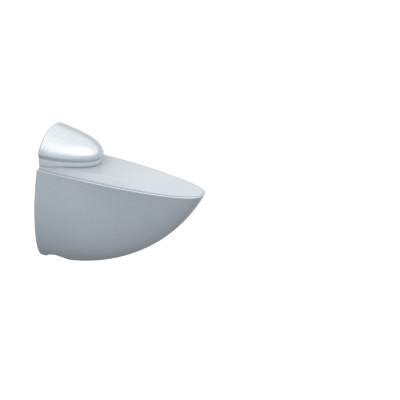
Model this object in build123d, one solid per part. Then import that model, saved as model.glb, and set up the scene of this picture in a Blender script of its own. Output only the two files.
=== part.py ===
from build123d import *
import math
import os

os.makedirs("parts", exist_ok=True)

# Shelf support clamp: a beak-shaped die-cast lower jaw that hangs on a hidden
# wall plate, and a domed upper jaw that a vertical screw pulls down on a shelf.
# Millimetres. X is the width, the beak points along -Y, the wall is the plane
# Y = 0 and Z is up. The origin is the centre of the two wall screw holes.
# Inside the functions d is the distance in front of the wall and h or g a
# height below or above a level; top_z is the level of the lower jaw's lip.

# ---- lower jaw shell -------------------------------------------------------
top_z = 23.0              # lip of the lower jaw above the origin
depth = 75.0              # wall to tip
lip_half_width = 13.957   # at the wall, at lip level
wall_height = 45.36       # lip to underside at the wall
keel = (1.8295, -6.8102, 7.6057, 8.468, -35.6308, 75.0314)  # keel radius, a polynomial of the fan angle
plan_power = (2.196, 4.977, 13.564)     # how the side falls away: lip, middle, wall
nose_power = (2.466, 2.605, 3.353)      # how blunt the section is: lip, middle, wall
bulge_plan = 0.025        # belly of the sides along the lip
bulge_wall = 0.215        # belly of the sides down the wall
skin = 2.1                # shell thickness
lip = 0.9                 # visible rim round the pad
seat = 1.2                # depth of the pad's seat
deck = 3.0                # top plate thickness under the seat
lip_round = 0.3
back_round = 0.15

# ---- inside of the lower jaw ----------------------------------------------
screw_d = 8.0             # clamp screw axis in front of the wall
rib_in = 5.8              # guide ribs, inner and outer faces
rib_out = 7.5
rib_front = 2.9           # the casting's inside starts here, in front of the plate
shelf_top = 33.0          # screw shelf, below the lip
shelf_bottom = 36.0
shelf_front = 14.5
scallop_r = 7.5           # access scallop in the underside
scallop_level = 40.8
scallop_d = 8.0

# ---- upper jaw -------------------------------------------------------------
gap_back = 0.30           # back of the dome in front of the wall
dome_start = 0.876        # the dome's form starts here; behind it the section stays the same
dome_z = 5.45             # underside of the dome above the lip, as pictured
dome_rise = 0.938         # its widest level, above the underside
dome_half_width = 13.490
dome_height = 10.439      # above the widest level
dome_length = 24.170
dome_shape = (0.33431, -1.37661, 1.98009, -1.00937, 0.0, 1.0)  # a polynomial of the fan angle
dome_plan = (1.689, 1.523, 1.532)
dome_nose = (1.95, 1.95, 1.95)
dome_base_round = 1.5
dome_back_round = 0.7
leg_half_x = 5.5
leg_half_d = 4.7
leg_bottom = 29.5         # below the lip
thread_length = 8.0
leg_bore_r = 2.95

# ---- pads --------------------------------------------------------------------
pad_gap = 0.15
pad_rim_z = 0.615         # rim of the lower pad above the lip
pad_top_z = 2.441         # its flat table
pad_bevel = 35.0          # degrees
ramp_start = 36.0         # the table ramps down to the rim between these
ramp_end = 58.0
table_relief = 0.05       # the table lies this much lower under the upper jaw,
relief_end = 26.0         # as far as here, so that the shelf bears on the free part
upper_pad_z = 2.5         # underside of the upper pad above the lip
upper_pad_inset = 1.05
upper_pad_round = 0.6
shield_half = 12.3        # thin back shield of the upper pad, between the dome and the wall
shield_top = 7.0
peg_r = 1.5

# ---- screws and plate --------------------------------------------------------
m5_r = 2.5
m5_head_r = 4.2
m5_head_h = 5.0
m5_socket = 4.0
washer_r = 4.3
shelf_hole_r = 2.58
thread_fit_r = 2.55
groove_r = 2.0
ring_r = 4.2
plate_t = 2.5
plate_half_x = 11.5
plate_top = 6.0
plate_bottom = 40.0
hole_r = 2.3
hole_head_r = 4.1
hole_spacing = 20.0
m4_r = 2.0
lock_x = 10.0
lock_d = 6.4


def blend(v, s):
    """Quadratic through v[0], v[1], v[2] at s = 0, 1/2, 1."""
    return v[0] * (1 - s) * (1 - 2 * s) + v[1] * 4 * s * (1 - s) + v[2] * s * (2 * s - 1)


def poly(c, x):
    y = 0.0
    for k in c:
        y = y * x + k
    return y


def fan_angle(d, h):
    return min(max(math.atan2(h, d), -0.14), math.pi / 2 + 0.14)


def body_reach(d, h, off=0.0):
    return math.hypot(d, h) / (poly(keel, fan_angle(d, h)) - off)


def body_width(d, h, off=0.0):
    s = fan_angle(d, h) / (math.pi / 2)
    t = min(body_reach(d, h, off), 1.0)
    side = bulge_plan * d / depth + bulge_wall * h / 45.0 * max(0.0, 1 - d / 60.0) ** 1.7
    w = lip_half_width * (1 + 4 * (1 - t) * side) - off
    return w * (1 - t ** blend(plan_power, s)) ** (1 / blend(nose_power, s))


def dome_reach(d, g, off=0.0):
    """g is the height above the dome's widest level, below which its sides are upright."""
    d = max(d, 0.0)
    if g <= 0.0:
        return d / (dome_length - off)
    a = fan_angle(d, g)
    oval = 1 / math.hypot(math.cos(a) / dome_length, math.sin(a) / dome_height)
    return math.hypot(d, g) / (oval * poly(dome_shape, a) - off)


def dome_width(d, g, off=0.0):
    d, g = max(d, 0.0), max(g, 0.0)
    s = fan_angle(d, g) / (math.pi / 2)
    t = min(dome_reach(d, g, off), 1.0)
    return (dome_half_width - off) * (1 - t ** blend(dome_plan, s)) ** (1 / blend(dome_nose, s))


def even(points, count):
    """count points at equal arc length along a dense polyline."""
    run = [0.0]
    for p, q in zip(points, points[1:]):
        run.append(run[-1] + math.dist(p, q))
    out, k = [], 0
    for i in range(count):
        want = run[-1] * i / (count - 1)
        while k < len(run) - 2 and run[k + 1] < want:
            k += 1
        f = (want - run[k]) / max(run[k + 1] - run[k], 1e-12)
        out.append(tuple(a + (b - a) * f for a, b in zip(points[k], points[k + 1])))
    return out


def fan_section(width, reach, start, angle, inner, count, power):
    """One U-shaped section in a plane that turns about a line parallel to X."""
    c, s = math.cos(angle), math.sin(angle)
    at = lambda rho: (start[0] + rho * c, start[1] + rho * s)
    low, high = inner, 200.0
    for _ in range(70):
        mid = (low + high) / 2
        low, high = (mid, high) if reach(*at(mid)) < 1 else (low, mid)
    half = []
    for i in range(1601):
        rho = inner + (low - inner) * (1 - (1 - i / 1600) ** power)
        half.append((width(*at(rho)), rho))
    half[-1] = (0.0, low)
    half = even(half, count)
    full = [(-x, r) for x, r in half] + [(x, r) for x, r in half[-2::-1]]
    return [(x,) + at(r) for x, r in full]


def fan_loft(width, reach, start, angles, inner, count, power, place):
    wires = []
    for a in angles:
        pts = [Vector(*place(*p)) for p in fan_section(width, reach, start, math.radians(a), inner, count, power)]
        n = len(pts) - 1
        curve = Edge.make_spline(pts, parameters=[i / n for i in range(n + 1)])
        wires.append(Wire([curve, Edge.make_line(pts[-1], pts[0])]))
    return Solid.make_loft(wires)


def block(x0, x1, d0, d1, z0, z1):
    """Box from x0 to x1, d0 to d1 in front of the wall, z0 to z1 above the lip."""
    return Pos((x0 + x1) / 2, -(d0 + d1) / 2, (z0 + z1) / 2) * Box(x1 - x0, d1 - d0, z1 - z0)


def rod(x, d, z0, z1, r):
    return Pos(x, -d, (z0 + z1) / 2) * Cylinder(r, z1 - z0)


def hexagon_bar(x, d, z0, z1, flats):
    return Pos(x, -d, z0) * extrude(RegularPolygon(flats / math.sqrt(3), 6), amount=z1 - z0)


def outline(width, length, off, z, count=61, tail=1.0):
    """Closed plan outline, moved inwards by off, from tail behind the wall to the nose."""
    dense = []
    for i in range(3001):
        d = -tail + (length + tail) * (1 - (1 - i / 3000) ** 2.4)
        dense.append((width(d), d))
    dense[-1] = (0.0, length)
    moved = []
    for i, (x, d) in enumerate(dense):
        x0, d0 = dense[max(i - 1, 0)]
        x1, d1 = dense[min(i + 1, len(dense) - 1)]
        tx, td = x1 - x0, d1 - d0
        n = math.hypot(tx, td) or 1.0
        if i == len(dense) - 1:
            tx, td, n = -1.0, 0.0, 1.0
        moved.append((x - off * td / n, d + off * tx / n))
    kept = moved[:1]
    for p in moved[1:-1]:
        # the offset sides would cross ahead of the nose, so only points that lead on to it stay
        if p[0] > 0.0 and (p[0] < kept[-1][0] or p[1] < length / 2):
            kept.append(p)
    moved = kept + [(0.0, moved[-1][1])]
    half = even(moved, (count + 1) // 2)
    full = [(-x, d) for x, d in half] + [(x, d) for x, d in half[-2::-1]]
    pts = [Vector(x, -d, z) for x, d in full]
    n = len(pts) - 1
    curve = Edge.make_spline(pts, parameters=[i / n for i in range(n + 1)])
    return Wire([curve, Edge.make_line(pts[-1], pts[0])])


def prism(wire, amount):
    return extrude(Face(wire), amount=amount, dir=(0, 0, 1))


# ---------------------------------------------------------------- lower jaw
body_place = lambda x, d, h: (x, -d, -h)
fan = [0, 4, 8.5, 14, 20, 27, 35, 44, 53, 62, 71, 80, 90]
shell = fan_loft(body_width, body_reach, (-5.0, -5.0), fan, 1.2, 29, 3.2, body_place)
shell = shell & block(-30, 30, 0, 90, -60, 0)
shell = fillet([e for e in shell.edges() if abs(e.center().Z) < 0.01 and e.length > 60], lip_round)
shell = fillet([e for e in shell.edges() if abs(e.center().Y) < 0.01 and e.length > 60], back_round)
cavity = fan_loft(
    lambda d, h: body_width(d, h, skin), lambda d, h: body_reach(d, h, skin),
    (-5.0, -5.0), fan, 1.2, 25, 3.2, body_place)
cavity = cavity & block(-30, 30, -1, 90, -60, -(seat + deck))

ribs = [block(*sorted((s * rib_in, s * rib_out)), rib_front, 70, -50, 0) for s in (-1, 1)]
shelf = block(-rib_in, rib_in, rib_front, shelf_front, -shelf_bottom, -shelf_top)
rails, bosses = [], []
for s in (-1, 1):
    a, b = sorted((s * (rib_out - 0.2), s * 20))
    rails.append(block(a, b, rib_front, 4.5, -14, 0))
    bosses.append(block(a, b, rib_front, 10.4, -38.6, -33))
inside = cavity
for piece in ribs + [shelf] + rails + bosses:
    inside = inside - piece

plan_wall = lambda d: body_width(d, 0.0)
body = shell - inside
body = body - (prism(outline(plan_wall, depth, lip, -seat), 5.0) & block(-30, 30, -2, 90, -seat, 6))
body = body - block(-5.8, 5.8, screw_d - 5.0, screw_d + 5.0, -(seat + deck) - 1, 1)
body = body - rod(0, screw_d, -shelf_bottom - 1, -shelf_top + 1, shelf_hole_r)
body = body - Pos(0, -scallop_d, -(scallop_level + scallop_r)) * Rot(0, 90, 0) * Cylinder(scallop_r, 60)
for s in (-1, 1):
    body = body - rod(s * lock_x, lock_d, -39.5, -32, m4_r)
for d in (22.0, 48.0):
    body = body - rod(0, d, -(seat + deck) - 1, -seat + 1, peg_r + 0.1)
body = body.solids().sort_by(lambda s: s.volume)[-1]


# ---------------------------------------------------------------- lower pad
pad_plan = lambda off, z: outline(plan_wall, depth, lip + pad_gap + off, z)
pad = prism(pad_plan(0.0, -seat), seat + pad_rim_z)
rise = pad_top_z - pad_rim_z + 0.6
bevelled = Solid.make_loft([
    pad_plan(0.0, pad_rim_z), pad_plan(rise / math.tan(math.radians(pad_bevel)), pad_rim_z + rise)], True)
profile = [(-1.5, pad_rim_z - 0.02), (-1.5, pad_top_z - table_relief), (relief_end, pad_top_z - table_relief),
           (relief_end, pad_top_z), (ramp_start, pad_top_z)]
for i in range(1, 13):
    u = i / 12
    profile.append((ramp_start + (ramp_end - ramp_start) * u,
                    pad_rim_z + (pad_top_z - pad_rim_z) * (1 - u * u * (3 - 2 * u))))
profile[-1] = (ramp_end, pad_rim_z)
profile.append((ramp_end, pad_rim_z - 0.02))
table = Face(Wire.make_polygon([Vector(-30, -d, z) for d, z in profile], close=True))
table = extrude(table, amount=60, dir=(1, 0, 0))
pad = pad + (bevelled & table)
pad = pad & block(-30, 30, 0.3, 90, -seat, 10)
pad = pad - block(-6.0, 6.0, screw_d - 5.2, screw_d + 5.2, -3, 6)
for d in (22.0, 48.0):
    pad = pad + rod(0, d, -seat - 2.4, -seat + 0.2, peg_r)
pad = pad.solids().sort_by(lambda s: s.volume)[-1]


# ---------------------------------------------------------------- upper jaw
dome_place = lambda x, d, g: (x, -(d + dome_start), dome_z + dome_rise + g)
dome = fan_loft(dome_width, dome_reach, (-2.0, -2.0 - dome_rise), [0, 4, 8, 12, 17, 23, 30, 38, 46, 55, 64, 73, 82, 90],
                0.7, 27, 3.0, dome_place)
dome = dome & block(-30, 30, gap_back, 60, dome_z, 40)
base_edges = [e for e in dome.edges() if abs(e.center().Z - dome_z) < 0.01 and e.length > 30]
dome = fillet(base_edges, dome_base_round)
dome = fillet([e for e in dome.edges() if abs(e.center().Y + gap_back) < 0.01 and e.length > 15
               and e.center().Z > dome_z + 3], dome_back_round)
leg = block(-leg_half_x, leg_half_x, screw_d - leg_half_d, screw_d + leg_half_d, -leg_bottom, dome_z + 1.5)
leg = fillet([e for e in leg.edges() if abs(e.length - (leg_bottom + dome_z + 1.5)) < 0.01], 0.6)
jaw = dome + leg
jaw = jaw - rod(0, screw_d, -leg_bottom - 1, 0.6, thread_fit_r)
jaw = jaw - rod(0, screw_d, -leg_bottom + thread_length, 0.6, leg_bore_r)
for x in (-8.6, 8.6):
    jaw = jaw - rod(x, screw_d, dome_z - 1, dome_z + 2.6, 1.3)
jaw = jaw.solids().sort_by(lambda s: s.volume)[-1]


# ---------------------------------------------------------------- upper pad
dome_plan_width = lambda d: dome_width(d, 0.0)
wire = outline(dome_plan_width, dome_length, upper_pad_inset, upper_pad_z)
upad = Pos(0, -dome_start, 0) * prism(wire, dome_z - upper_pad_z)
upad = upad & block(-30, 30, gap_back, 60, upper_pad_z, dome_z)
upad = fillet([e for e in upad.edges() if abs(e.center().Z - upper_pad_z) < 0.01 and e.length > 30], upper_pad_round)
shield = block(-shield_half, shield_half, 0.1, gap_back, upper_pad_z, shield_top)
shield = fillet([e for e in shield.edges() if e.length < 0.5 and e.center().Z > shield_top - 0.01], 0.8)
upad = upad + shield
upad = upad - block(-leg_half_x - 0.1, leg_half_x + 0.1, screw_d - leg_half_d - 0.1, screw_d + leg_half_d + 0.1, 0, dome_z + 0.5)
for x in (-8.6, 8.6):
    upad = upad + rod(x, screw_d, dome_z - 0.4, dome_z + 2.2, 1.2)
upad = upad.solids().sort_by(lambda s: s.volume)[-1]


# ---------------------------------------------------------------- clamp screw
head_top = shelf_bottom + 1.05
screw = rod(0, screw_d, -head_top - m5_head_h, -head_top, m5_head_r)
screw = fillet([e for e in screw.edges() if abs(e.center().Z + head_top + m5_head_h) < 0.01], 0.5)
shank = rod(0, screw_d, -head_top - 0.5, -2.6, m5_r)
shank = chamfer([e for e in shank.edges() if abs(e.center().Z + 2.6) < 0.01], 0.6)
screw = screw + shank
screw = screw - (rod(0, screw_d, -32.95, -32.15, 6) - rod(0, screw_d, -33, -32, groove_r))
screw = screw - hexagon_bar(0, screw_d, -head_top - m5_head_h - 1, -head_top - m5_head_h + 2.6, m5_socket)

washer = rod(0, screw_d, -head_top, -shelf_bottom - 0.05, washer_r) - rod(0, screw_d, -40, -30, m5_r + 0.1)

ring = rod(0, screw_d, -32.9, -32.2, ring_r) - rod(0, screw_d, -34, -31, groove_r + 0.05)
ring = ring - block(-1.7, 1.7, screw_d, screw_d + 6, -34, -31)
for a in (200, 340):
    x = 2.75 * math.cos(math.radians(a))
    y = 2.75 * math.sin(math.radians(a))
    ring = ring - rod(x, screw_d - y, -34, -31, 0.65)


# ---------------------------------------------------------------- wall plate
plate = block(-plate_half_x, plate_half_x, 0, plate_t, -plate_bottom, -plate_top)
plate = fillet([e for e in plate.edges() if abs(e.length - plate_t) < 0.01], 2.0)
for s in (-1, 1):
    a, b = sorted((s * 8.0, s * plate_half_x))
    hook = block(a, b, plate_t - 0.5, 6.6, -16.1, -14.1) + block(a, b, 4.8, 6.6, -16.1, -10.6)
    hook = hook + block(a, b, plate_t - 0.5, 9.2, -31.1, -29.1)
    plate = plate + hook
for z in (-top_z + hole_spacing / 2, -top_z - hole_spacing / 2):
    plate = plate - Pos(0, -1, z) * Rot(90, 0, 0) * Cylinder(hole_r, 10)
    cone = Pos(0, -(plate_t - 0.9), z) * Rot(90, 0, 0) * Cone(hole_r, hole_r + 1.8, 1.8)
    plate = plate - cone

lock = []
for s in (-1, 1):
    g = rod(s * lock_x, lock_d, -39.2, -31.15, m4_r - 0.03)
    g = chamfer([e for e in g.edges() if abs(e.center().Z + 31.15) < 0.01], 0.5)
    g = g - hexagon_bar(s * lock_x, lock_d, -40, -37.0, 2.0)
    lock.append(g.solids()[0])

lift = Pos(0, 0, top_z)
nodes = {
    "lower_jaw_body": lift * body,
    "lower_pad": lift * pad,
    "upper_jaw": lift * jaw,
    "upper_pad": lift * upad,
    "clamp_screw": lift * screw,
    "screw_washer": lift * washer,
    "retaining_ring": lift * ring,
    "wall_plate": lift * plate,
    "lock_screws": Compound([lift * g for g in lock]),
}
for name, shape in nodes.items():
    export_step(shape, "parts/" + name + ".step")
    box = shape.bounding_box()
    print(name, "valid", shape.is_valid, "volume", round(shape.volume, 1),
          [round(v, 2) for v in (box.min.X, box.min.Y, box.min.Z, box.max.X, box.max.Y, box.max.Z)])
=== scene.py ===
import math

import bmesh
import bpy
import numpy as np
from mathutils import Matrix, Vector


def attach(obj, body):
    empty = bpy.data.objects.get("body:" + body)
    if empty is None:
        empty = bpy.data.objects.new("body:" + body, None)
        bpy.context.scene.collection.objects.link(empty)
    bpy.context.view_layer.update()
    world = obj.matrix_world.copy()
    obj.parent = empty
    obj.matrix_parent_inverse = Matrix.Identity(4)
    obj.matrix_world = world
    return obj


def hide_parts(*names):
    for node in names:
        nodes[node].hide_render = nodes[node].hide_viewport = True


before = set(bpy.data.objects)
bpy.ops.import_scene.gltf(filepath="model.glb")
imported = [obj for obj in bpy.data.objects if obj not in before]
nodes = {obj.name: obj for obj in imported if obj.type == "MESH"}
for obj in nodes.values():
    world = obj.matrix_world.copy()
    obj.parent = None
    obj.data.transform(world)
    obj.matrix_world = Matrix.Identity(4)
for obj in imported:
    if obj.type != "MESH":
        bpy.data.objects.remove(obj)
scene = bpy.context.scene
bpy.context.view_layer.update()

# Shapes below are worked out in millimetres with d in front of the wall
# (Y = -d) and z above the lip of the lower jaw, and placed in metres.
MM = 0.001
LIP_Z = 23.0


# ------------------------------------------------------------------ helpers
def place(x, d, z):
    return (x * MM, -d * MM, (LIP_Z + z) * MM)


def blend(v, s):
    return v[0] * (1 - s) * (1 - 2 * s) + v[1] * 4 * s * (1 - s) + v[2] * s * (2 * s - 1)


def poly(c, x):
    y = 0.0
    for k in c:
        y = y * x + k
    return y


def lip_width(d):
    """Half width of the lower jaw at lip level."""
    d = max(d, 0.0)
    t = min(d / 75.0314, 1.0)
    return 13.957 * (1 + 4 * (1 - t) * 0.025 * d / 75.0) * (1 - t ** 2.196) ** (1 / 2.466)


DOME_SHAPE = (0.33431, -1.37661, 1.98009, -1.00937, 0.0, 1.0)
DOME_LENGTH, DOME_HEIGHT, DOME_HALF = 24.170, 10.439, 13.490
DOME_Z, DOME_BACK = 5.45, 0.876


def dome_width(d, g):
    """Half width of the dome, d in front of its back and g above its widest level."""
    d, g = max(d, 0.0), max(g, 0.0)
    a = math.atan2(g, d) if g > 0.0 else 0.0
    s = a / (math.pi / 2)
    oval = 1 / math.hypot(math.cos(a) / DOME_LENGTH, math.sin(a) / DOME_HEIGHT)
    t = min(math.hypot(d, g) / (oval * poly(DOME_SHAPE, a)), 1.0)
    return DOME_HALF * (1 - t ** blend((1.689, 1.523, 1.532), s)) ** (1 / 1.95)


def even(points, count):
    pts = np.array(points, float)
    run = np.concatenate([[0.0], np.cumsum(np.hypot(*np.diff(pts, axis=0).T))])
    want = np.linspace(0.0, run[-1], count)
    return [(float(x), float(d)) for x, d in zip(np.interp(want, run, pts[:, 0]), np.interp(want, run, pts[:, 1]))]


def half_outline(width, length, off, start, count):
    """Right half of a plan outline moved inwards by off, from d = start to the nose."""
    dense = []
    for i in range(2401):
        d = -1.0 + (length + 1.0) * (1 - (1 - i / 2400) ** 2.4)
        dense.append((width(d), d))
    dense[-1] = (0.0, length)
    moved = []
    for i, (x, d) in enumerate(dense):
        x0, d0 = dense[max(i - 1, 0)]
        x1, d1 = dense[min(i + 1, len(dense) - 1)]
        tx, td = x1 - x0, d1 - d0
        n = math.hypot(tx, td) or 1.0
        if i == len(dense) - 1:
            tx, td, n = -1.0, 0.0, 1.0
        moved.append((x - off * td / n, d + off * tx / n))
    moved = [p for p in moved if p[1] >= start]
    kept = [(moved[0][0], start)]
    for p in moved[1:-1]:
        # the offset sides would cross ahead of the nose, so only points that lead on to it stay
        if p[0] > 0.0 and (p[0] < kept[-1][0] or p[1] < length / 2):
            kept.append(p)
    moved = kept + [(0.0, moved[-1][1])]
    return even(moved, count)


def mesh_object(name, verts, faces, body, smooth=40.0):
    me = bpy.data.meshes.new(name)
    me.from_pydata(verts, [], faces)
    ob = bpy.data.objects.new(name, me)
    scene.collection.objects.link(ob)
    tidy(ob, smooth)
    if body:
        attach(ob, body)
    return ob


def tidy(ob, smooth=40.0, merge=1e-6):
    bm = bmesh.new()
    bm.from_mesh(ob.data)
    bmesh.ops.remove_doubles(bm, verts=bm.verts, dist=merge)
    bmesh.ops.dissolve_degenerate(bm, dist=merge, edges=bm.edges)
    bmesh.ops.recalc_face_normals(bm, faces=bm.faces)
    bm.to_mesh(ob.data)
    bm.free()
    ob.data.shade_smooth()
    ob.data.set_sharp_from_angle(angle=math.radians(smooth))


def combine(ob, other, operation):
    """Exact boolean of ob with other, which is then removed."""
    mod = ob.modifiers.new("cut", "BOOLEAN")
    mod.operation = operation
    mod.solver = "EXACT"
    mod.object = other
    bpy.context.view_layer.update()
    made = bpy.data.meshes.new_from_object(ob.evaluated_get(bpy.context.evaluated_depsgraph_get()))
    ob.modifiers.remove(mod)
    ob.data = made
    bpy.data.objects.remove(other)


def round_block(name, x0, x1, d0, d1, z0, z1, r, steps=4):
    """Upright block with rounded vertical edges."""
    ring = []
    for cx, cd, a0 in ((x1 - r, d1 - r, 0), (x0 + r, d1 - r, 90), (x0 + r, d0 + r, 180), (x1 - r, d0 + r, 270)):
        for i in range(steps + 1):
            a = math.radians(a0 + 90 * i / steps)
            ring.append((cx + r * math.cos(a), cd + r * math.sin(a)))
    n = len(ring)
    verts = [place(x, d, z0) for x, d in ring] + [place(x, d, z1) for x, d in ring]
    faces = [tuple(range(n)), tuple(range(2 * n - 1, n - 1, -1))]
    faces += [(i, (i + 1) % n, n + (i + 1) % n, n + i) for i in range(n)]
    return mesh_object(name, verts, faces, None)


def lathe(profile, x, d, steps=48):
    """Vertices and faces of a closed turned form about an upright axis; profile is (r, z) from axis to axis."""
    verts, faces, rows = [], [], []
    for r, z in profile:
        if r < 1e-6:
            rows.append([len(verts)] * steps)
            verts.append(place(x, d, z))
        else:
            rows.append(list(range(len(verts), len(verts) + steps)))
            verts += [place(x + r * math.cos(2 * math.pi * i / steps), d + r * math.sin(2 * math.pi * i / steps), z)
                      for i in range(steps)]
    for a, b in zip(rows, rows[1:]):
        for i in range(steps):
            j = (i + 1) % steps
            f = []
            for v in (a[i], a[j], b[j], b[i]):
                if v not in f:
                    f.append(v)
            if len(f) > 2:
                faces.append(tuple(f))
    return verts, faces


# ---------------------------------------------------------------- materials
def new_material(name):
    m = bpy.data.materials.new(name)
    m.use_nodes = True
    nt = m.node_tree
    nt.nodes.clear()
    out = nt.nodes.new("ShaderNodeOutputMaterial")
    p = nt.nodes.new("ShaderNodeBsdfPrincipled")
    nt.links.new(p.outputs["BSDF"], out.inputs["Surface"])
    return m, nt, p


def noise(nt, scale, detail=3.0, rough=0.55, stretch=None):
    tc = nt.nodes.new("ShaderNodeTexCoord")
    n = nt.nodes.new("ShaderNodeTexNoise")
    n.inputs["Scale"].default_value = scale
    n.inputs["Detail"].default_value = detail
    n.inputs["Roughness"].default_value = rough
    if stretch:
        mp = nt.nodes.new("ShaderNodeMapping")
        mp.inputs["Scale"].default_value = stretch
        nt.links.new(tc.outputs["Object"], mp.inputs["Vector"])
        nt.links.new(mp.outputs["Vector"], n.inputs["Vector"])
    else:
        nt.links.new(tc.outputs["Object"], n.inputs["Vector"])
    return n.outputs["Fac"]


def cells(nt, scale):
    tc = nt.nodes.new("ShaderNodeTexCoord")
    v = nt.nodes.new("ShaderNodeTexVoronoi")
    v.inputs["Scale"].default_value = scale
    nt.links.new(tc.outputs["Object"], v.inputs["Vector"])
    return v.outputs["Color"]


def ramp(nt, fac, stops):
    r = nt.nodes.new("ShaderNodeValToRGB")
    e = r.color_ramp.elements
    while len(e) > 1:
        e.remove(e[-1])
    e[0].position, e[0].color = stops[0][0], (*stops[0][1], 1)
    for pos, col in stops[1:]:
        k = e.new(pos)
        k.color = (*col, 1)
    nt.links.new(fac, r.inputs["Fac"])
    return r.outputs["Color"]


def to_range(nt, fac, low, high, a=0.3, b=0.7):
    m = nt.nodes.new("ShaderNodeMapRange")
    m.inputs["From Min"].default_value = a
    m.inputs["From Max"].default_value = b
    m.inputs["To Min"].default_value = low
    m.inputs["To Max"].default_value = high
    nt.links.new(fac, m.inputs["Value"])
    return m.outputs["Result"]


def mix(nt, a, b, fac, kind="MIX"):
    m = nt.nodes.new("ShaderNodeMix")
    m.data_type = "RGBA"
    m.blend_type = kind
    m.inputs["Factor"].default_value = fac
    nt.links.new(a, m.inputs["A"])
    nt.links.new(b, m.inputs["B"])
    return m.outputs["Result"]


def bump(nt, height, strength, distance, after=None):
    b = nt.nodes.new("ShaderNodeBump")
    b.inputs["Strength"].default_value = strength
    b.inputs["Distance"].default_value = distance
    nt.links.new(height, b.inputs["Height"])
    if after is not None:
        nt.links.new(after, b.inputs["Normal"])
    return b.outputs["Normal"]


def silver_lacquer():
    m, nt, p = new_material("silver_lacquer_finish")
    c = (0.68, 0.705, 0.73)
    tone = lambda f: tuple(v * f for v in c)
    broad = ramp(nt, noise(nt, 90.0, 3.0), [(0.30, tone(0.975)), (0.70, tone(1.02))])
    flake = ramp(nt, cells(nt, 4200.0), [(0.0, (0.90, 0.90, 0.90)), (0.5, (1.0, 1.0, 1.0)), (1.0, (1.0, 1.0, 1.0))])
    grain = ramp(nt, noise(nt, 1350.0, 2.0, 0.6), [(0.34, (0.945, 0.945, 0.945)), (0.66, (1.035, 1.035, 1.035))])
    nt.links.new(mix(nt, mix(nt, broad, grain, 1.0, "MULTIPLY"), flake, 0.55, "MULTIPLY"), p.inputs["Base Color"])
    p.inputs["Metallic"].default_value = 0.85
    nt.links.new(to_range(nt, noise(nt, 240.0, 4.0), 0.30, 0.36), p.inputs["Roughness"])
    peel = bump(nt, noise(nt, 900.0, 2.0), 0.10, 0.00003)
    nt.links.new(bump(nt, noise(nt, 5200.0, 2.0), 0.16, 0.00001, peel), p.inputs["Normal"])
    p.inputs["Coat Weight"].default_value = 0.12
    p.inputs["Coat Roughness"].default_value = 0.28
    return m


def milky_pad(name, c, density, sss=0.6, painted_shade_stops=None):
    m, nt, p = new_material(name)
    tone = lambda f: tuple(min(v * f, 1.0) for v in c)
    cloud = ramp(nt, noise(nt, 95.0, 1.5, 0.4), [(0.30, tone(0.982)), (0.70, tone(1.015))])
    speck = ramp(nt, noise(nt, 900.0, 1.0), [(0.35, (0.990, 0.991, 0.992)), (0.6, (1.0, 1.0, 1.0))])
    colour = mix(nt, cloud, speck, 0.6, "MULTIPLY")
    if painted_shade_stops:
        # painted shade: the colour is darkened towards the rear end, where the dome and the wall shade the pad
        tc = nt.nodes.new("ShaderNodeTexCoord")
        sep = nt.nodes.new("ShaderNodeSeparateXYZ")
        nt.links.new(tc.outputs["Object"], sep.inputs["Vector"])
        painted_dome_shade = ramp(nt, to_range(nt, sep.outputs["Y"], 1.0, 0.0, -0.075, 0.0), painted_shade_stops)
        colour = mix(nt, colour, painted_dome_shade, 1.0, "MULTIPLY")
    nt.links.new(colour, p.inputs["Base Color"])
    nt.links.new(to_range(nt, noise(nt, 110.0, 1.0), 0.23, 0.28), p.inputs["Roughness"])
    p.inputs["IOR"].default_value = 1.48
    p.inputs["Subsurface Weight"].default_value = sss
    p.inputs["Subsurface Radius"].default_value = (1.0, 1.05, 1.1)
    p.inputs["Subsurface Scale"].default_value = density
    nt.links.new(bump(nt, noise(nt, 160.0, 1.0), 0.04, 0.00002), p.inputs["Normal"])
    return m


def steel(name, c, low, high, streak, metallic=1.0):
    m, nt, p = new_material(name)
    tone = lambda f: tuple(v * f for v in c)
    patch = ramp(nt, noise(nt, 260.0, 5.0), [(0.3, tone(0.88)), (0.7, tone(1.08))])
    line = ramp(nt, noise(nt, 900.0, 3.0, stretch=streak), [(0.3, (0.86, 0.86, 0.86)), (0.65, (1.0, 1.0, 1.0))])
    nt.links.new(mix(nt, patch, line, 0.6, "MULTIPLY"), p.inputs["Base Color"])
    p.inputs["Metallic"].default_value = metallic
    nt.links.new(to_range(nt, noise(nt, 500.0, 4.0, stretch=streak), low, high), p.inputs["Roughness"])
    nt.links.new(bump(nt, noise(nt, 1600.0, 3.0, stretch=streak), 0.18, 0.00002), p.inputs["Normal"])
    return m


LACQUER = silver_lacquer()
# the last argument paints shade onto the pad: darker towards its rear end, under the dome and beside the wall
PAD = milky_pad("clear_pad_finish", (0.590, 0.619, 0.650), 0.0016, 0.0,
                [(0.0, (0.76, 0.76, 0.76)), (0.25, (0.82, 0.82, 0.82)), (0.45, (0.93, 0.93, 0.93)), (0.75, (1.0, 1.0, 1.0))])
PAD_UNDER = milky_pad("clear_pad_finish_upper", (0.58, 0.63, 0.625), 0.0012, 0.0)
ZINC = steel("zinc_plate_finish", (0.66, 0.67, 0.685), 0.26, 0.36, (1.0, 1.0, 0.12))
ZINC_TURNED = steel("zinc_turned_finish", (0.68, 0.69, 0.70), 0.22, 0.32, (0.25, 0.25, 2.5))
SPRING = steel("spring_steel_finish", (0.10, 0.10, 0.105), 0.34, 0.46, (1.0, 1.0, 0.5), 0.85)
BLACK = steel("black_oxide_finish", (0.055, 0.056, 0.060), 0.38, 0.5, (1.0, 1.0, 0.5), 0.7)


def finish(ob, mat):
    ob.data.materials.clear()
    ob.data.materials.append(mat)


finish(nodes["lower_jaw_body"], LACQUER)
finish(nodes["upper_jaw"], LACQUER)
finish(nodes["wall_plate"], ZINC)
finish(nodes["clamp_screw"], ZINC_TURNED)
finish(nodes["screw_washer"], ZINC_TURNED)
finish(nodes["retaining_ring"], SPRING)
finish(nodes["lock_screws"], BLACK)


# ---------------------------------------------------------------- lower pad
RIM, TABLE = 0.615, 2.441
SLOPE = math.tan(math.radians(35.0))


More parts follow.
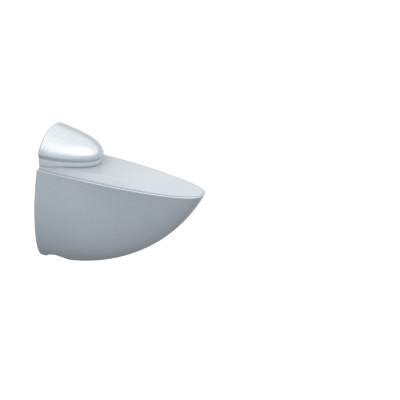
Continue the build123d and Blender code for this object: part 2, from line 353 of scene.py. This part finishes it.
def table_level(d):
    u = min(max((d - 36.0) / 22.0, 0.0), 1.0)
    return RIM + (TABLE - RIM) * (1 - u * u * (3 - 2 * u))


def soft_min(a, b, k):
    h = max(k - abs(a - b), 0.0) / k
    return min(a, b) - h * h * k / 4


def pad_level(off, d):
    return soft_min(RIM + off * SLOPE, table_level(d), 0.5)


def lower_pad():
    count, cross, start = 171, 18, 0.3
    side = [(0.25, -1.2), (0.0, -0.95), (0.0, -0.45), (-0.10, -0.3), (-0.12, 0.05), (-0.12, 0.30)]
    offs = [-0.08, 0.0, 0.12, 0.30, 0.6, 1.0, 1.5, 1.9, 2.15, 2.3, 2.42, 2.54, 2.66, 2.8, 3.0, 3.4, 4.0]
    corner = 0.20
    verts, rings = [], []
    for off, z in side + [(o, None) for o in offs]:
        ring = []
        for x, d in half_outline(lip_width, 75.0, 1.05 + off, start, count):
            if z is None:
                # the rim itself is rounded
                level = pad_level(max(off, 0.0), d) - corner * max(0.0, 1 - (off + 0.12) / 0.42) ** 2
            else:
                level = z
            ring.append((x, d, level))
        rings.append(ring)
    def add(p, sign):
        verts.append(place(sign * p[0], p[1], p[2]))
        return len(verts) - 1
    right = [[add(p, 1) for p in ring] for ring in rings]
    left = [[add(p, -1) for p in ring] for ring in rings]
    faces = []
    quad = lambda a, b, c, d: faces.append((a, b, c, d))
    for r0, r1, l0, l1 in zip(right, right[1:], left, left[1:]):
        for j in range(count - 1):
            quad(r0[j], r0[j + 1], r1[j + 1], r1[j])
            quad(l0[j + 1], l0[j], l1[j], l1[j + 1])

    def span(ring, rl, ll, level):
        """Rows of vertices straight across from the left to the right of a ring."""
        rows = []
        for j, (x, d, z) in enumerate(ring):
            row = [ll[j]]
            for i in range(1, cross):
                u = -1 + 2 * i / cross
                verts.append(place(x * u, d, level(d, z)))
                row.append(len(verts) - 1)
            row.append(rl[j])
            rows.append(row)
        for a, b in zip(rows, rows[1:]):
            for i in range(cross):
                quad(a[i], a[i + 1], b[i + 1], b[i])
        return rows
    top = span(rings[-1], right[-1], left[-1], lambda d, z: z)
    bottom = span(rings[0], right[0], left[0], lambda d, z: z)
    # rear end: a flat wall of strips between the rings' first points
    loop = [r[0] for r in left] + top[0][1:-1] + [r[0] for r in right[::-1]] + bottom[0][1:-1][::-1]
    faces.append(tuple(loop))
    ob = mesh_object("lower_pad_soft", verts, faces, None, 50.0)
    for d in (22.0, 48.0):
        v, f = lathe([(0, -3.6), (1.2, -3.6), (1.5, -3.3), (1.5, -1.0), (0, -1.0)], 0.0, d, 32)
        combine(ob, mesh_object("peg", v, f, None), "UNION")
    combine(ob, round_block("leg_hole", -6.0, 6.0, 2.8, 13.2, -3.0, 6.0, 0.8), "DIFFERENCE")
    tidy(ob, 42.0)
    finish(ob, PAD)
    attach(ob, "bracket")
    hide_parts("lower_pad")
    return ob


# ---------------------------------------------------------------- upper pad
def upper_pad():
    count, cross, start, back = 121, 14, -0.60, DOME_BACK
    profile = [(1.72, 5.45), (1.72, 5.12), (1.68, 5.00), (1.56, 4.87), (1.40, 4.72), (1.25, 4.56), (1.13, 4.41),
               (1.05, 4.26), (1.01, 4.10), (1.00, 3.90), (1.02, 3.60), (1.05, 3.30), (1.09, 3.05), (1.16, 2.84),
               (1.28, 2.67), (1.46, 2.56), (1.70, 2.51), (2.4, 2.50)]
    verts, faces = [], []

    def sag(x, d, z):
        """The soft underside lies on the lower pad's bevel."""
        off = max(lip_width(d) - 1.05 - abs(x), 0.0)
        return z - min(max((3.3 - z) / 0.5, 0.0), 1.0) * (TABLE - min(pad_level(off, d), TABLE))
    rings = [[(x, d + back, sag(x, d + back, z)) for x, d in
              half_outline(lambda d: dome_width(d, 0.0), DOME_LENGTH, off, start, count)] for off, z in profile]

    def add(p, sign):
        verts.append(place(sign * p[0], p[1], p[2]))
        return len(verts) - 1
    right = [[add(p, 1) for p in ring] for ring in rings]
    left = [[add(p, -1) for p in ring] for ring in rings]
    for r0, r1, l0, l1 in zip(right, right[1:], left, left[1:]):
        for j in range(count - 1):
            faces.append((r0[j], r0[j + 1], r1[j + 1], r1[j]))
            faces.append((l0[j + 1], l0[j], l1[j], l1[j + 1]))
    ends = []
    for ring, rl, ll in ((rings[0], right[0], left[0]), (rings[-1], right[-1], left[-1])):
        rows = []
        for j, (x, d, z) in enumerate(ring):
            row = [ll[j]]
            for i in range(1, cross):
                across = x * (-1 + 2 * i / cross)
                verts.append(place(across, d, z if z > 4 else sag(across, d, 2.5)))
                row.append(len(verts) - 1)
            row.append(rl[j])
            rows.append(row)
        for a, b in zip(rows, rows[1:]):
            for i in range(cross):
                faces.append((a[i], a[i + 1], b[i + 1], b[i]))
        ends.append(rows[0])
    faces.append(tuple([r[0] for r in left] + ends[1][1:-1] + [r[0] for r in right[::-1]] + ends[0][1:-1][::-1]))
    ob = mesh_object("upper_pad_soft", verts, faces, None, 50.0)
    # thin shield that stands up between the dome and the wall
    right_edge = [(11.7, 1.75), (12.15, 2.2), (12.3, 2.8), (12.3, 6.2), (12.24, 6.5), (12.07, 6.77), (11.8, 6.94), (11.5, 7.0)]
    loop = right_edge + [(-x, z) for x, z in right_edge[::-1]]
    n = len(loop)
    v = [place(x, 0.1, z) for x, z in loop] + [place(x, 0.296, z) for x, z in loop]
    f = [tuple(range(n)), tuple(range(2 * n - 1, n - 1, -1))]
    f += [(i, (i + 1) % n, n + (i + 1) % n, n + i) for i in range(n)]
    shield = mesh_object("shield", v, f, None)
    bevel = shield.modifiers.new("edge", "BEVEL")
    bevel.width = 0.05 * MM
    bevel.segments = 3
    bevel.limit_method = "ANGLE"
    bevel.angle_limit = math.radians(50)
    bpy.context.view_layer.update()
    shield.data = bpy.data.meshes.new_from_object(shield.evaluated_get(bpy.context.evaluated_depsgraph_get()))
    shield.modifiers.clear()
    combine(ob, shield, "UNION")
    for x in (-8.6, 8.6):
        v, f = lathe([(0, 5.2), (1.2, 5.2), (1.2, 7.4), (0.95, 7.65), (0, 7.65)], x, 8.0, 28)
        combine(ob, mesh_object("peg", v, f, None), "UNION")
    combine(ob, round_block("leg_hole", -5.6, 5.6, 3.2, 12.8, 2.0, 5.95, 0.7), "DIFFERENCE")
    tidy(ob, 42.0)
    finish(ob, PAD_UNDER)
    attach(ob, "jaw")
    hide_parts("upper_pad")
    return ob


# ------------------------------------------------------------------- screws
def threaded(name, x0, d0, lower, r, z0, z1, pitch, depth, socket, steps=72, ridges=()):
    """Closed mesh of a screw. lower is its (r, z) profile from the axis up to the
    start of the thread at (r, z0); the thread runs out at z0 and is chamfered at z1."""
    phases = [(0.0, 0.0), (0.12, 0.0), (0.44, 1.0), (0.56, 1.0), (0.88, 0.25)]
    per = len(phases)
    turns = int(math.ceil((z1 - z0) / pitch)) + 2
    tip = r - depth - 0.05
    verts, cols = [], []
    for i in range(steps):
        th = 2 * math.pi * i / steps
        pts = [(rr - (0.09 if k in ridges and i % 2 else 0.0), z) for k, (rr, z) in enumerate(lower)]
        for j in range(-1, turns):
            for ph, cut in phases:
                z = z0 + pitch * (j + i / steps + ph)
                if z <= z0:
                    pts.append((r, z0))
                elif z >= z1:
                    pts.append((tip, z1))
                else:
                    fade = min((z - z0) / pitch, 1.0)
                    pts.append((min(r - depth * cut * fade, tip + (z1 - z)), z))
        pts.append((0.0, z1))
        cols.append(range(len(verts), len(verts) + len(pts)))
        verts += [place(x0 + rr * math.cos(th), d0 + rr * math.sin(th), z) for rr, z in pts]
    n, low = len(cols[0]), len(lower)
    faces = []
    for i in range(steps - 1):
        a, b = cols[i], cols[i + 1]
        faces += [(a[k], b[k], b[k + 1], a[k + 1]) for k in range(n - 1)]
    # the thread has climbed by one turn where the last column meets the first
    a, b = cols[-1], cols[0]
    faces += [(a[k], b[k], b[k + 1], a[k + 1]) for k in range(low - 1)]
    faces += [(a[k], b[k + per], b[k + per + 1], a[k + 1]) for k in range(low, n - 2 - per)]
    faces.append((a[low - 1], b[low - 1], b[low], a[low]))
    faces.append((a[n - 2], b[n - 2], b[n - 1], a[n - 1]))
    me = bpy.data.meshes.new(name)
    me.from_pydata(verts, [], faces)
    ob = bpy.data.objects.new(name, me)
    scene.collection.objects.link(ob)
    tidy(ob, 35.0, 2e-7)
    flats, top = socket
    bottom = lower[0][1]
    ring = [(x0 + flats / math.sqrt(3) * math.cos(math.radians(60 * i)),
             d0 + flats / math.sqrt(3) * math.sin(math.radians(60 * i))) for i in range(6)]
    v = [place(x, d, bottom - 1.0) for x, d in ring] + [place(x, d, top) for x, d in ring] + [place(x0, d0, top + 0.5)]
    f = [tuple(range(6))] + [(i, (i + 1) % 6, 6 + (i + 1) % 6, 6 + i) for i in range(6)]
    f += [(6 + i, 6 + (i + 1) % 6, 12) for i in range(6)]
    combine(ob, mesh_object("hexagon", v, f, None), "DIFFERENCE")
    tidy(ob, 35.0, 2e-7)
    return ob


def clamp_screw():
    lower = [(0.0, -42.05), (3.55, -42.05), (3.85, -41.95), (4.08, -41.72), (4.2, -41.45), (4.2, -37.35),
             (4.05, -37.15), (3.85, -37.05), (2.75, -37.05), (2.5, -36.85), (2.5, -33.0), (2.45, -32.95),
             (2.0, -32.95), (2.0, -32.15), (2.45, -32.15), (2.5, -32.1), (2.5, -31.3)]
    ob = threaded("clamp_screw_threaded", 0.0, 8.0, lower, 2.5, -31.3, -2.6, 0.8, 0.43, (4.0, -39.45), ridges=(4, 5))
    finish(ob, ZINC_TURNED)
    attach(ob, "screw")
    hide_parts("clamp_screw")


def lock_screws():
    made = []
    for x in (-10.0, 10.0):
        lower = [(0.0, -39.2), (1.45, -39.2), (1.75, -39.0), (1.97, -38.75)]
        made.append(threaded("lock", x, 6.4, lower, 1.97, -38.75, -31.15, 0.7, 0.36, (2.0, -37.0), steps=48))
    bm = bmesh.new()
    for ob in made:
        bm.from_mesh(ob.data)
    me = bpy.data.meshes.new("lock_screws_threaded")
    bm.to_mesh(me)
    bm.free()
    for ob in made:
        bpy.data.objects.remove(ob)
    ob = bpy.data.objects.new("lock_screws_threaded", me)
    scene.collection.objects.link(ob)
    tidy(ob, 35.0, 2e-7)
    finish(ob, BLACK)
    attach(ob, "bracket")
    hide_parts("lock_screws")


lower_pad()
upper_pad()
clamp_screw()
lock_screws()


# ------------------------------------------------------------ floor and light
def floor():
    m, nt, p = new_material("floor_paper")
    nt.links.new(ramp(nt, noise(nt, 3.0, 3.0), [(0.3, (0.955, 0.955, 0.955)), (0.7, (0.975, 0.975, 0.975))]),
                 p.inputs["Base Color"])
    p.inputs["Roughness"].default_value = 0.95
    p.inputs["Specular IOR Level"].default_value = 0.1
    me = bpy.data.meshes.new("floor")
    s = 40.0
    me.from_pydata([(-s, -s, 0), (s, -s, 0), (s, s, 0), (-s, s, 0)], [], [(0, 1, 2, 3)])
    ob = bpy.data.objects.new("floor", me)
    ob.location = (0, 0, -0.35)
    scene.collection.objects.link(ob)
    finish(ob, m)
    ob.visible_diffuse = False
    ob.visible_glossy = False
    ob.visible_transmission = False
    ob.visible_shadow = False


def sky():
    """Soft studio surroundings: bright above, dimmer towards the ground."""
    w = bpy.data.worlds.new("studio")
    scene.world = w
    w.use_nodes = True
    nt = w.node_tree
    nt.nodes.clear()
    out = nt.nodes.new("ShaderNodeOutputWorld")
    tc = nt.nodes.new("ShaderNodeTexCoord")
    sep = nt.nodes.new("ShaderNodeSeparateXYZ")
    nt.links.new(tc.outputs["Generated"], sep.inputs["Vector"])
    around = to_range(nt, sep.outputs["Z"], 0.0, 1.0, -1.0, 1.0)

    def sum_of(a, b, kind="ADD"):
        m = nt.nodes.new("ShaderNodeMath")
        m.operation = kind
        for k, v in enumerate((a, b)):
            if isinstance(v, float):
                m.inputs[k].default_value = v
            else:
                nt.links.new(v, m.inputs[k])
        return m.outputs["Value"]
    # the bright part begins a little higher beside the wall than in front
    begin = sum_of(sum_of(sep.outputs["Y"], -0.06, "MULTIPLY"), -0.034)
    for k, low_end, high_end, a, b in (("Z", 0.0, 1.0, 0.05, 0.25), ("Z", 1.0, 0.0, 0.60, 0.80), ("X", 1.0, 0.0, 0.0, 0.5)):
        begin = sum_of(begin, to_range(nt, sep.outputs[k], low_end, high_end, a, b), "MULTIPLY")
    around = sum_of(around, begin)
    light = ramp(nt, around, [(0.0, (0.25, 0.266, 0.283)), (0.15, (0.29, 0.315, 0.34)), (0.35, (0.43, 0.467, 0.508)),
                              (0.695, (0.50, 0.535, 0.575)), (0.775, (1.12, 1.12, 1.12)), (0.90, (1.12, 1.12, 1.12)),
                              (0.97, (1.0, 1.005, 1.01)), (1.0, (0.96, 0.965, 0.97))])
    # the room is brighter on one side and, near the ground, away from the wall; the
    # wall itself lies in shade, and its far end is pale
    side = sum_of(sep.outputs["X"], -0.34, "MULTIPLY")
    low = to_range(nt, sep.outputs["Z"], 1.0, 0.0, 0.0, 0.2)
    away = sum_of(sum_of(sep.outputs["Y"], -0.40, "MULTIPLY"), -0.23)
    shade = to_range(nt, sep.outputs["Y"], 0.0, -0.50, 0.60, 0.95)
    pale = sum_of(to_range(nt, sep.outputs["X"], 0.0, 1.0, 0.45, 0.85),
                  to_range(nt, sep.outputs["Z"], 1.0, 0.0, 0.05, 0.40), "MULTIPLY")
    # beside the wall the bright part fades, and half-way round the low part is lighter
    fade = sum_of(sum_of(to_range(nt, sep.outputs["Y"], 0.0, 1.0, 0.15, 0.50),
                         to_range(nt, sep.outputs["Z"], 0.0, -0.28, -0.05, 0.15), "MULTIPLY"),
                  to_range(nt, sep.outputs["X"], 1.0, 0.0, -0.45, -0.05), "MULTIPLY")
    half_way = sum_of(to_range(nt, sep.outputs["Y"], 0.14, 0.0, -0.08, 0.20),
                      to_range(nt, sep.outputs["Y"], -0.22, 0.0, -0.60, -0.25))
    gain = sum_of(sum_of(low, sum_of(away, half_way), "MULTIPLY"), side)
    for part in (1.25, shade, pale, fade):
        gain = sum_of(gain, part)
    seen = nt.nodes.new("ShaderNodeBackground")
    seen.inputs["Color"].default_value = (1, 1, 1, 1)
    seen.inputs["Strength"].default_value = 1.0
    lit = nt.nodes.new("ShaderNodeBackground")
    nt.links.new(light, lit.inputs["Color"])
    nt.links.new(gain, lit.inputs["Strength"])
    path = nt.nodes.new("ShaderNodeLightPath")
    pick = nt.nodes.new("ShaderNodeMixShader")
    nt.links.new(path.outputs["Is Camera Ray"], pick.inputs["Fac"])
    nt.links.new(lit.outputs["Background"], pick.inputs[1])
    nt.links.new(seen.outputs["Background"], pick.inputs[2])
    nt.links.new(pick.outputs["Shader"], out.inputs["Surface"])


def area(name, place_, aim, size, power, colour=(1, 1, 1), size_y=None):
    d = bpy.data.lights.new(name, "AREA")
    d.shape = "RECTANGLE"
    d.size, d.size_y = size, size_y or size
    d.energy = power
    d.color = colour
    ob = bpy.data.objects.new(name, d)
    ob.location = place_
    ob.rotation_mode = "QUATERNION"
    ob.rotation_quaternion = (Vector(aim) - Vector(place_)).to_track_quat("-Z", "Y")
    scene.collection.objects.link(ob)
    ob.visible_camera = False
    return ob


floor()
sky()
area("key", (-0.45, -0.55, 0.95), (0, -0.03, 0.02), 0.9, 1.2, (1.0, 0.998, 0.99))


# ------------------------------------------------------------------- camera
def camera():
    a, e, roll = math.radians(29.663), math.radians(26.01), math.radians(0.059)
    focal = 1410.92                      # pixels, for an image 400 wide
    target = Vector((0.0, -0.028636, 0.014818))
    right = Vector((math.sin(a), -math.cos(a), 0))
    back = Vector((-math.cos(a) * math.cos(e), -math.sin(a) * math.cos(e), math.sin(e)))
    ahead = -back
    up = right.cross(ahead).normalized()
    t = Vector(((109.388 - 200) / focal, -(188.5 - 200) / focal, 1.0)).normalized()
    turn = Vector((0, 0, 1)).rotation_difference(t).to_matrix()
    spin = Matrix(((math.cos(roll), -math.sin(roll), 0), (math.sin(roll), math.cos(roll), 0), (0, 0, 1)))
    m = turn @ spin @ Matrix((right, up, ahead))
    data = bpy.data.cameras.new("camera")
    data.sensor_width = 36.0
    data.lens = focal / 400 * 36.0
    data.clip_start, data.clip_end = 0.01, 200.0
    ob = bpy.data.objects.new("camera", data)
    scene.collection.objects.link(ob)
    at = target + back * 0.62303
    ob.matrix_world = Matrix((
        (m[0][0], m[1][0], -m[2][0], at.x),
        (m[0][1], m[1][1], -m[2][1], at.y),
        (m[0][2], m[1][2], -m[2][2], at.z),
        (0, 0, 0, 1)))
    scene.camera = ob


camera()
scene.view_settings.view_transform = "Standard"
scene.view_settings.look = "None"
scene.view_settings.exposure = 0.0
scene.view_settings.gamma = 1.0

bpy.context.view_layer.update()
